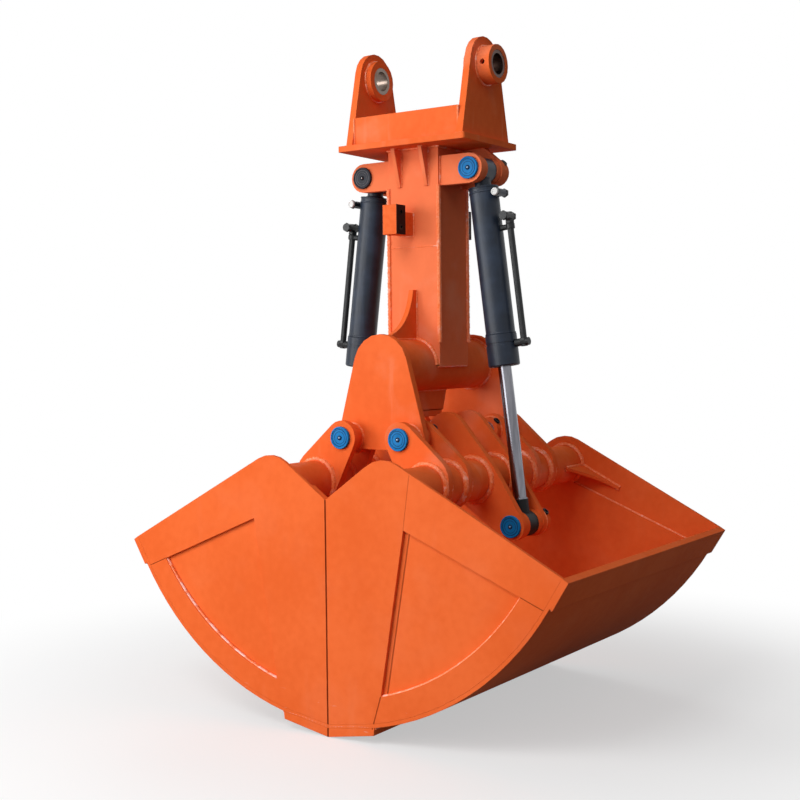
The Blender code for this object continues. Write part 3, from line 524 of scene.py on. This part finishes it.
# Weld paint is paler than the plates, partly as painted highlight; the second one is much paler, for the
# window and lip welds
weld = weld_paint("orange_paint_welds", 0.22)
pale_highlit_weld = weld_paint("orange_paint_pale_highlit_welds", 0.66)
enamel = black_enamel("black_enamel")
fitting_enamel = black_enamel("black_fitting", (0.008, 0.009, 0.010))
steel = turned_steel("machined_steel")
bush_steel = turned_steel("bush_steel", (0.20, 0.155, 0.130), 0.24)
zinc = turned_steel("zinc_fitting", (0.50, 0.50, 0.50), 0.30)
blue = moulded_plastic("blue_cap_plastic", (0.002, 0.158, 0.425))
blue_shade = moulded_plastic("blue_cap_groove", (0.002, 0.024, 0.070))
grey_cap = moulded_plastic("grey_cap_plastic", (0.020, 0.022, 0.030))
grey_shade = moulded_plastic("grey_cap_ring", (0.100, 0.098, 0.110))
white_plug = moulded_plastic("white_plug_plastic", (0.66, 0.66, 0.65))
dark_screw = turned_steel("dark_screw", (0.016, 0.015, 0.017), 0.46)
# Near-black steel of the collar's sleeve: painted shade of the bore
shaded_bore_steel = turned_steel("collar_bore_painted_shade", (0.085, 0.050, 0.042), 0.34)


def round_shading(data, limit=25.0):
    """Shades rounds as smooth across their narrow facets and leaves every sharper edge crisp."""
    closest = math.cos(math.radians(limit))
    keys = [tuple(round(number, 5) for number in vertex.co) for vertex in data.vertices]
    meeting = {}
    for polygon in data.polygons:
        corners = [data.vertices[index].co for index in polygon.vertices]
        for step, index in enumerate(polygon.vertices):
            before = corners[step - 1] - corners[step]
            after = corners[(step + 1) % len(corners)] - corners[step]
            meeting.setdefault(keys[index], []).append((polygon.normal.copy(), before.angle(after, 0.0)))
    normals = []
    for polygon in data.polygons:
        for index in polygon.vertices:
            total = Vector()
            for normal, weight in meeting[keys[index]]:
                if normal.dot(polygon.normal) > closest:
                    total += normal * weight
            normals.append(total.normalized() if total.length else polygon.normal.copy())
    data.shade_smooth()
    data.normals_split_custom_set(normals)


def dress():
    """Gives every node of the frame its finish."""
    chrome = rod_finish()
    block = block_paint()
    by_ending = {
        "_cap": blue, "_pin": steel, "_bush": bush_steel, "_rod": chrome, "_barrel": enamel,
        "_gland": enamel, "_return_pipe": fitting_enamel, "_hose_block": block, "_shell_sheet": sheet_paint,
        "column": column_paint, "_upper_bracket": column_paint,
    }
    for name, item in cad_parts.items():
        finish = paint
        for ending, chosen in by_ending.items():
            if name.endswith(ending):
                finish = chosen
        if name == "left_upper_cap":
            finish = grey_cap
        if name.endswith(("_cheek", "_cutting_lip")):
            finish = left_cheek_paint if name.startswith("left") else right_cheek_paint
        item.data.materials.clear()
        item.data.materials.append(finish)
        round_shading(item.data)


def piece(name, shape, finish, body):
    """A smooth-shaded piece from a closed mesh, riding on a body."""
    bmesh.ops.recalc_face_normals(shape, faces=shape.faces)
    data = bpy.data.meshes.new(name)
    shape.to_mesh(data)
    shape.free()
    data.materials.append(finish)
    data.shade_smooth()
    data.set_sharp_from_angle(angle=math.radians(40.0))
    item = bpy.data.objects.new(name, data)
    bpy.context.scene.collection.objects.link(item)
    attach(item, body)


def lathe(shape, outline, origin, axis, steps, turn=0.0):
    """Adds a turned body to a mesh. The outline's points are (distance along the axis, radius)."""
    tilt = Vector((0.0, 0.0, 1.0)).rotation_difference(Vector(axis)).to_matrix().to_4x4()
    place = Matrix.Translation(origin) @ tilt
    circles = []
    for along, radius in outline:
        if radius == 0.0:
            circles.append([shape.verts.new(place @ Vector((0.0, 0.0, along)))])
            continue
        circle = []
        for index in range(steps):
            angle = turn + 2 * math.pi * index / steps
            spot = Vector((radius * math.cos(angle), radius * math.sin(angle), along))
            circle.append(shape.verts.new(place @ spot))
        circles.append(circle)
    for first, second in zip(circles, circles[1:]):
        for index in range(steps):
            after = (index + 1) % steps
            if len(first) == 1:
                shape.faces.new((first[0], second[index], second[after]))
            elif len(second) == 1:
                shape.faces.new((first[index], first[after], second[0]))
            else:
                shape.faces.new((first[index], first[after], second[after], second[index]))


def close(shape):
    """Joins the ends of outlines that come back to their first point."""
    bmesh.ops.remove_doubles(shape, verts=shape.verts, dist=0.00001)


def turned(outline, origin, axis, steps):
    """A mesh turned from one outline."""
    shape = bmesh.new()
    lathe(shape, outline, origin, axis, steps)
    if outline[0] == outline[-1]:
        close(shape)
    return shape


def bead(shape, points, radius, closed=False):
    """Adds a weld bead along a line of points: a rippled round rope, sunk into the seam that it fills."""
    spots = [Vector(point) for point in points]
    if closed:
        spots.append(spots[0])
    pitch = radius * 0.62
    path = [spots[0]]
    for first, second in zip(spots, spots[1:]):
        count = max(1, round((second - first).length / pitch))
        path += [first.lerp(second, index / count) for index in range(1, count + 1)]
    if closed:
        path.pop()
    total = len(path)
    circles = []
    side = None
    for index, spot in enumerate(path):
        before = path[index - 1] if closed or index else spot
        after = path[(index + 1) % total] if closed or index + 1 < total else spot
        way = (after - before).normalized()
        if side is None:
            side = way.orthogonal().normalized()
        side = (side - way * side.dot(way)).normalized()
        up = way.cross(side)
        swell = radius * (1.0 + 0.10 * math.sin(index * 2.4) + 0.06 * math.sin(index * 0.83 + spot.x * 40.0))
        circle = []
        for step in range(bead_sides):
            angle = 2 * math.pi * step / bead_sides
            circle.append(shape.verts.new(spot + (side * math.cos(angle) + up * math.sin(angle)) * swell))
        circles.append(circle)
    for first, second in zip(circles, circles[1:]):
        for step in range(bead_sides):
            after = (step + 1) % bead_sides
            shape.faces.new((first[step], first[after], second[after], second[step]))
    if closed:
        last, first = circles[-1], circles[0]
        shift = min(range(bead_sides), key=lambda step: (last[step].co - first[0].co).length)
        for step in range(bead_sides):
            after = (step + 1) % bead_sides
            near, far = last[(step + shift) % bead_sides], last[(after + shift) % bead_sides]
            shape.faces.new((near, far, first[after], first[step]))
    else:
        shape.faces.new(circles[0])
        shape.faces.new(circles[-1])


def ring(centre, along, radius, side=1, start=0.0, end=360.0, steps=40):
    """Points of a circle in a plane whose normal is the hinge pins' direction."""
    points = []
    for index in range(steps + (end - start < 360.0)):
        angle = math.radians(start + (end - start) * index / steps)
        spot = (centre[0] + radius * math.cos(angle), centre[1] + radius * math.sin(angle))
        points.append(at(side * spot[0], along, spot[1]))
    return points


def ring_across(across, radius):
    """Points of a circle round the hanger pin's axis."""
    turns = [2 * math.pi * index / 40 for index in range(40)]
    return [at(across, radius * math.cos(turn), hanger_height + radius * math.sin(turn)) for turn in turns]


def loop_round(left, right, front, rear, height):
    """Corners of a horizontal rectangle."""
    corners = ((left, front), (right, front), (right, rear), (left, rear))
    return [at(across, along, height) for across, along in corners]


def frame_welds():
    """Beads of the hanger, the column and the hinge frame."""
    shape = bmesh.new()
    across, along = column_half
    bead(shape, loop_round(-across, across, -along, along, base_underside), heavy_bead, closed=True)
    for side in (-1, 1):
        near, far = sorted(side * face for face in ear_faces)
        foot = loop_round(near, far, -ear_half_width, ear_half_width, base_top)
        bead(shape, foot, plate_bead, closed=True)
        bead(shape, ring_across(side * ear_faces[0], ear_boss_radius), boss_bead, closed=True)
    bead(shape, ring_across(ear_faces[1], collar_radius), rim_bead, closed=True)
    for front in (-1, 1):
        for face in upstand_faces:
            place = front * face
            bead(shape, [at(-ear_faces[0], place, base_top), at(ear_faces[0], place, base_top)], boss_bead)
            for side in (-1, 1):
                ear = side * ear_faces[0]
                bead(shape, [at(ear, place, base_top), at(ear, place, upstand_top)], light_bead)
        for side in (-1, 1):
            for edge in rib_faces:
                foot = at(side * edge, front * along, rib_foot)
                head = at(side * edge, front * along, base_underside)
                tip = at(side * edge, front * (along + rib_reach), base_underside)
                bead(shape, [foot, head, tip], thin_bead)
            for face in bracket_faces:
                top = base_underside if front > 0 else front_bracket_top
                edge = (side * across, front * face)
                bead(shape, [at(*edge, bracket_foot), at(*edge, top)], boss_bead)
        face = front * along
        seam = [at(end, face, column_plate_seam) for end in (-column_seam_half, column_seam_half)]
        bead(shape, seam, seam_bead)
        for side in (-1, 1):
            edge = (side * across, face)
            bead(shape, [at(*edge, column_foot), at(*edge, bracket_foot)], corner_bead)
        low, high = stub_heights
        reach = front * stub_reach
        stub = [at(0.0, face, low), at(reach, face, low), at(reach, face, high), at(0.0, face, high)]
        bead(shape, stub, light_bead, closed=True)
        saddle = ring(drum, front * (along + seam_lift), drum_radius + seam_lift, 1, *saddle_arc, 30)
        bead(shape, saddle, saddle_bead)
        bead(shape, ring(drum, front * (pear_faces[0] - seam_lift), drum_radius), drum_bead, closed=True)
        for side in (-1, 1):
            for pear_face in pear_faces:
                bead(shape, ring(hinge, front * pear_face, boss_radius, side), boss_bead, closed=True)
            edge = side * gusset_half
            bead(shape, [at(edge, face, height) for height in gusset_heights], thin_bead)
            bead(shape, [at(edge, face, drum_seam), at(edge, front * pear_seam, drum_seam)], thin_bead)
    for side in (-1, 1):
        for (edge, height), half, radius in (
            (saddle_edge, along, heavy_bead), (keel_root, keel_half_length, light_bead),
        ):
            bead(shape, [at(side * edge, -half, height), at(side * edge, half, height)], radius)
        bead(shape, ring(upper_pin, bracket_faces[1], boss_radius, side), boss_bead, closed=True)
    piece("hanger_frame_welds", shape, weld, "hanger_frame")


def shell_welds(hand, side):
    """Beads of one shell: tube collars, boss rings, the cheeks' lapped joint, gussets, sheet and lip."""
    shape = bmesh.new()
    faces = outer_hinge_faces + inner_hinge_faces + bracket_faces
    for front in (-1, 1):
        for face in faces:
            bead(shape, ring(tube, front * face, tube_radius + collar_lift, side), collar_bead, closed=True)
        along = front * (cheek_middle - saddle_lift)
        bead(shape, ring(tube, along, tube_radius + saddle_lift, side), saddle_bead, closed=True)
        bead(shape, ring(hinge, front * inner_hinge_faces[0], boss_radius, side), boss_bead, closed=True)
        seam = ring(sheet_centre, front * panel_inside, sheet_inside_radius, side, *sheet_arc, 36)
        bead(shape, seam, plate_bead)
        along = front * (cheek_middle - seam_lift)
        bead(shape, [at(side * reach, along, height) for reach, height in ledge_ends], boss_bead)
        for rise in (-fin_half, fin_half):
            root, tip = (
                (place[0] + rise * fin_square[0], place[1] + rise * fin_square[1])
                for place in (fin_root, fin_tip)
            )
            fin = [
                at(side * root[0], front * fin_start, root[1]),
                at(side * root[0], front * cheek_middle, root[1]),
                at(side * tip[0], front * cheek_middle, tip[1]),
            ]
            bead(shape, fin, rim_bead)
    bead(shape, ring(rod_pin, bracket_faces[1], boss_radius, side), boss_bead, closed=True)
    for (reach, height), half, radius in ((lip_seam, lip_half, light_bead), (rim_seam, rim_half, rim_bead)):
        bead(shape, [at(side * reach, -half, height), at(side * reach, half, height)], radius)
    piece(f"{hand}_shell_welds", shape, weld, f"{hand}_shell")
    shape = bmesh.new()
    for front in (-1, 1):
        seam = ring(sheet_centre, front * window_weld_face, window_radius, side, *window_arc, 30)
        bead(shape, seam, rim_bead)
    # The left window welds get the palest paint: painted highlight
    finish = pale_highlit_weld if hand == "left" else weld
    piece(f"{hand}_shell_window_welds", shape, finish, f"{hand}_shell")
    shape = bmesh.new()
    for front in (-1, 1):
        along = front * (cheek_outside - lip_bead)
        bead(shape, [at(side * reach, along, height) for reach, height in lip_crack], lip_bead)
    piece(f"{hand}_shell_lip_welds", shape, pale_highlit_weld, f"{hand}_shell")


def screw(shape, pin, way):
    """A screw with a round socket in its head, standing off a pin's axis in a direction."""
    way = Vector(way).normalized()
    radius = screw_radius
    chamfer = radius * 0.12
    lathe(shape, [
        (-screw_depth, 0.0), (-screw_depth, radius), (-chamfer, radius), (0.0, radius - chamfer),
        (0.0, radius * 0.58), (-radius * 0.5, radius * 0.55), (-radius * 0.5, 0.0),
    ], pin + way * screw_stand, way, 24)


def keel_foot_bar():
    """Flat bar welded under the keel plate of the drum."""
    shape = bmesh.new()
    bmesh.ops.create_cube(shape, size=1.0)
    for vertex in shape.verts:
        share = vertex.co + Vector((0.5, 0.5, 0.5))
        across = foot_bar_half * vertex.co.x * 2
        along = foot_bar_start + foot_bar_length * share.y
        vertex.co = at(across, along, foot_bar_bottom + foot_bar_depth * share.z)
    bmesh.ops.bevel(shape, geom=shape.edges[:], offset=foot_bar_edge, segments=2, affect="EDGES")
    piece("keel_foot_bar", shape, paint, "hanger_frame")


def pin_screws():
    """Set screws in the retaining bosses of all the pins."""
    upward = math.sqrt(0.5)
    for hand, side in (("left", -1), ("right", 1)):
        way = Vector((side * upward, 0.0, upward))
        shape = bmesh.new()
        middle = (bracket_faces[1] + bracket_boss_end) / 2
        screw(shape, at(side * upper_pin[0], middle, upper_pin[1]), way)
        piece(f"{hand}_upper_pin_screw", shape, dark_screw, "hanger_frame")
        shape = bmesh.new()
        screw(shape, at(side * rod_pin[0], middle, rod_pin[1]), way)
        middle = (inner_hinge_faces[0] + hinge_boss_end) / 2
        for front in (-1, 1):
            screw(shape, at(side * hinge[0], front * middle, hinge[1]), way)
        piece(f"{hand}_shell_pin_screws", shape, dark_screw, f"{hand}_shell")


def cap_details():
    """Grease nipples and the moulded rim of every dust cap."""
    caps = []
    for hand, side in (("left", -1), ("right", 1)):
        shell = f"{hand}_shell"
        upper = (side * upper_pin[0], -bracket_faces[1], upper_pin[1])
        lower = (side * rod_pin[0], -bracket_faces[1], rod_pin[1])
        caps.append((f"{hand}_upper", upper, "hanger_frame", -1))
        caps.append((f"{hand}_rod", lower, shell, -1))
        for end, front in (("front", -1), ("rear", 1)):
            place = (side * hinge[0], front * outer_hinge_faces[1], hinge[1])
            caps.append((f"{hand}_{end}_hinge", place, shell, front))
    for name, place, body, front in caps:
        origin = at(*place)
        way = (0.0, front, 0.0)
        plastic, shade, finish_slot = blue, blue_shade, "blue_plastic"
        if name == "left_upper":
            plastic, shade, finish_slot = grey_cap, grey_shade, "black_cap"
        rim = turned(cap_rim_outline, origin, way, 48)
        piece(f"{name}_cap_rim", rim, plastic, body)
        seat = turned(cap_seat_outline, origin, way, 32)
        piece(f"{name}_cap_seat", seat, dark_screw, body)
        grooves = bmesh.new()
        for low, high, inner, outer in cap_groove_rings:
            lathe(grooves, [
                (low, inner), (high - groove_edge, inner), (high, inner + groove_edge),
                (high, outer - groove_edge), (high - groove_edge, outer), (low, outer), (low, inner),
            ], origin, way, 44)
        close(grooves)
        piece(f"{name}_cap_grooves", grooves, shade, body)
        nipple = turned(cap_nipple_outline, origin, way, 18)
        piece(f"{name}_cap_nipple", nipple, zinc, body)


def cylinder_details(hand, side):
    """Fittings, rings and clamp of one cylinder."""
    top = Vector((side * upper_pin[0], upper_pin[1]))
    foot = Vector((side * rod_pin[0], rod_pin[1]))
    down = (foot - top).normalized()
    out = Vector((-down.y, down.x)) * side
    body = f"{hand}_barrel"
    down_way = Vector((down.x, 0.0, down.y))
    out_way = Vector((out.x, 0.0, out.y))
    origin = at(top.x, 0.0, top.y)

    def spot(along, outward, depth=0.0):
        """A place along the cylinder's axis, set off outward and in depth."""
        return origin + down_way * along + out_way * outward + Vector((0.0, depth, 0.0))

    rings = bmesh.new()
    inner, edge, crest = seam_ring_radii
    rise, fall, end = seam_ring_steps
    for start, swell in barrel_seams:
        lathe(rings, [
            (start, inner), (start, edge + swell), (start + rise, crest + swell),
            (start + fall, crest + swell), (start + end, edge + swell), (start + end, inner),
            (start, inner),
        ], origin, down_way, 56)
    close(rings)
    neck, radius = neck_seam
    turns = [2 * math.pi * index / 36 for index in range(36)]
    depth_way = Vector((0.0, 1.0, 0.0))
    seam = [
        origin + down_way * neck + (out_way * math.cos(turn) + depth_way * math.sin(turn)) * radius
        for turn in turns
    ]
    bead(rings, seam, light_bead, closed=True)
    piece(f"{hand}_barrel_rings", rings, enamel, body)

    nuts = bmesh.new()
    pipe_port = (pipe_head, pipe_off)
    for port, radius in zip((feed_port, pipe_port), port_nut_radii):
        for depth, length in zip((port_near, port_far), port_nut_lengths):
            lathe(nuts, [
                (0.0, 0.0), (0.0, radius * 0.92), (nut_edge, radius), (length - nut_edge, radius),
                (length, radius * 0.92), (length, 0.0),
            ], spot(*port, depth), (0.0, 1.0, 0.0), 6, math.pi / 6)
    for along in pipe_nuts:
        lathe(nuts, pipe_nut_outline, spot(along, pipe_off), down_way, 6)
    piece(f"{hand}_barrel_nuts", nuts, fitting_enamel, body)

    plug_place = spot(*feed_port, port_near + plug_gap)
    plug = turned(barrel_port_plug_outline, plug_place, (0.0, -1.0, 0.0), 28)
    piece(f"{hand}_barrel_port_plug", plug, white_plug, body)
    clamp = turned(pipe_clamp_outline, spot(pipe_clamp_start, pipe_off), down_way, 28)
    piece(f"{hand}_barrel_pipe_clamp", clamp, fitting_enamel, body)
    seal = turned(wiper_ring_outline, origin, down_way, 56)
    piece(f"{hand}_barrel_wiper_ring", seal, fitting_enamel, body)


def port_inserts():
    """Dark threaded plugs in the hose blocks' ports, on both machined faces."""
    for name, front in (("front", -1), ("rear", 1)):
        shape = bmesh.new()
        for height in port_heights:
            for across, way in ((0.0, -front), (front * stub_reach, front)):
                place = at(across, front * port_line, height)
                lathe(shape, block_port_plug_outline, place, (way, 0.0, 0.0), 28)
        piece(f"{name}_port_plugs", shape, dark_screw, "hanger_frame")


def collar_liner():
    """Steel sleeve inside the long collar of the right ear, coloured near black: the bore's shade painted
    into it.
    """
    shape = turned(collar_sleeve_outline, at(0.0, 0.0, hanger_height), (1.0, 0.0, 0.0), 40)
    piece("right_collar_liner", shape, shaded_bore_steel, "hanger_frame")


def pale_floor():
    """Pale floor that glows white away from the bucket and keeps its shadow."""
    floor_shape = bmesh.new()
    bmesh.ops.create_grid(floor_shape, x_segments=8, y_segments=8, size=floor_half)
    data = bpy.data.meshes.new("floor")
    floor_shape.to_mesh(data)
    floor_shape.free()
    floor = bpy.data.objects.new("floor", data)
    floor.location = (0.0, 0.0, -hanger_height - floor_gap)
    bpy.context.scene.collection.objects.link(floor)
    finish = Finish("pale_floor", Roughness=0.9, Specular_IOR_Level=0.1)
    bounced = finish.node("ShaderNodeLightPath", output="Is Diffuse Ray")
    finish.set(Base_Color=finish.blend(bounced, colour(0.86, 0.86, 0.86), colour(0.16, 0.16, 0.16)))
    glow = finish.node("ShaderNodeEmission", values={"Color": colour(1.0, 1.0, 1.0), "Strength": 1.0})
    spread = finish.node("ShaderNodeVectorMath", {"operation": "LENGTH"}, {0: finish.place()}, "Value")
    far = glow_share + spread.fade(*glow_reach) * (1.0 - glow_share)
    matte = Value(finish, finish.shader.outputs[0])
    mixed = finish.node("ShaderNodeMixShader", values={0: far * finish.seen(), 1: matte, 2: glow})
    finish.feed(finish.tree.nodes["Material Output"].inputs["Surface"], mixed)
    data.materials.append(finish.material)


def white_surroundings():
    """White background, which lights the bucket less than it is seen."""
    world = bpy.data.worlds.new("studio")
    world.use_nodes = True
    bpy.context.scene.world = world
    nodes = Nodes(world.node_tree)
    values = {"Value": nodes.seen(), "To Min": surround_light, "To Max": 1.0}
    strength = nodes.node("ShaderNodeMapRange", values=values)
    background = nodes.tree.nodes["Background"]
    nodes.feed(background.inputs["Strength"], strength)
    nodes.feed(background.inputs["Color"], colour(1.0, 1.0, 1.0))


def lamps():
    """Soft lamps round the bucket, each aimed at a height on its middle line."""
    for name, place, aim_height, size, power in (
        ("key", (-4.6, -5.2, 0.3), -1.1, (3.0, 3.0), 210.0),
        ("front", (0.3, -4.3, 2.5), -1.2, (2.2, 2.2), 120.0),
        ("low", (-1.2, -4.6, -0.8), -0.9, (2.2, 2.4), 64.0),
        ("back", (-3.8, 4.6, 2.2), -1.0, (3.0, 3.0), 90.0),
    ):
        light = bpy.data.lights.new(name, "AREA")
        light.shape = "RECTANGLE"
        light.size, light.size_y = size
        light.energy = power
        lamp = bpy.data.objects.new(name, light)
        lamp.location = place
        sight = Vector((0.0, 0.0, aim_height)) - Vector(place)
        lamp.rotation_euler = sight.to_track_quat("-Z", "Y").to_euler()
        bpy.context.scene.collection.objects.link(lamp)


def photograph_view():
    """Camera at the photograph's angle."""
    azimuth, elevation, roll, distance = 0.605318, 0.0333842, -0.0116986, 4.670494
    target = at(-0.190688, 0.0, 1.059024)
    level = math.cos(elevation)
    forward = Vector((-math.sin(azimuth) * level, math.cos(azimuth) * level, -math.sin(elevation)))
    right = forward.cross(Vector((0.0, 0.0, 1.0))).normalized()
    up = right.cross(forward)
    turn = Matrix((right, up, -forward)).transposed().to_4x4() @ Matrix.Rotation(roll, 4, "Z")
    lens = bpy.data.cameras.new("camera")
    lens.sensor_width = 36.0
    lens.lens = 58.6857
    lens.shift_x = 0.018669
    lens.shift_y = -0.009107
    camera = bpy.data.objects.new("camera", lens)
    camera.matrix_world = Matrix.Translation(target - forward * distance) @ turn
    bpy.context.scene.collection.objects.link(camera)
    bpy.context.scene.camera = camera
    bpy.context.scene.view_settings.view_transform = "Standard"


dress()
frame_welds()
for hand, side in (("left", -1), ("right", 1)):
    shell_welds(hand, side)
    cylinder_details(hand, side)
pin_screws()
cap_details()
port_inserts()
collar_liner()
keel_foot_bar()
pale_floor()
white_surroundings()
lamps()
photograph_view()
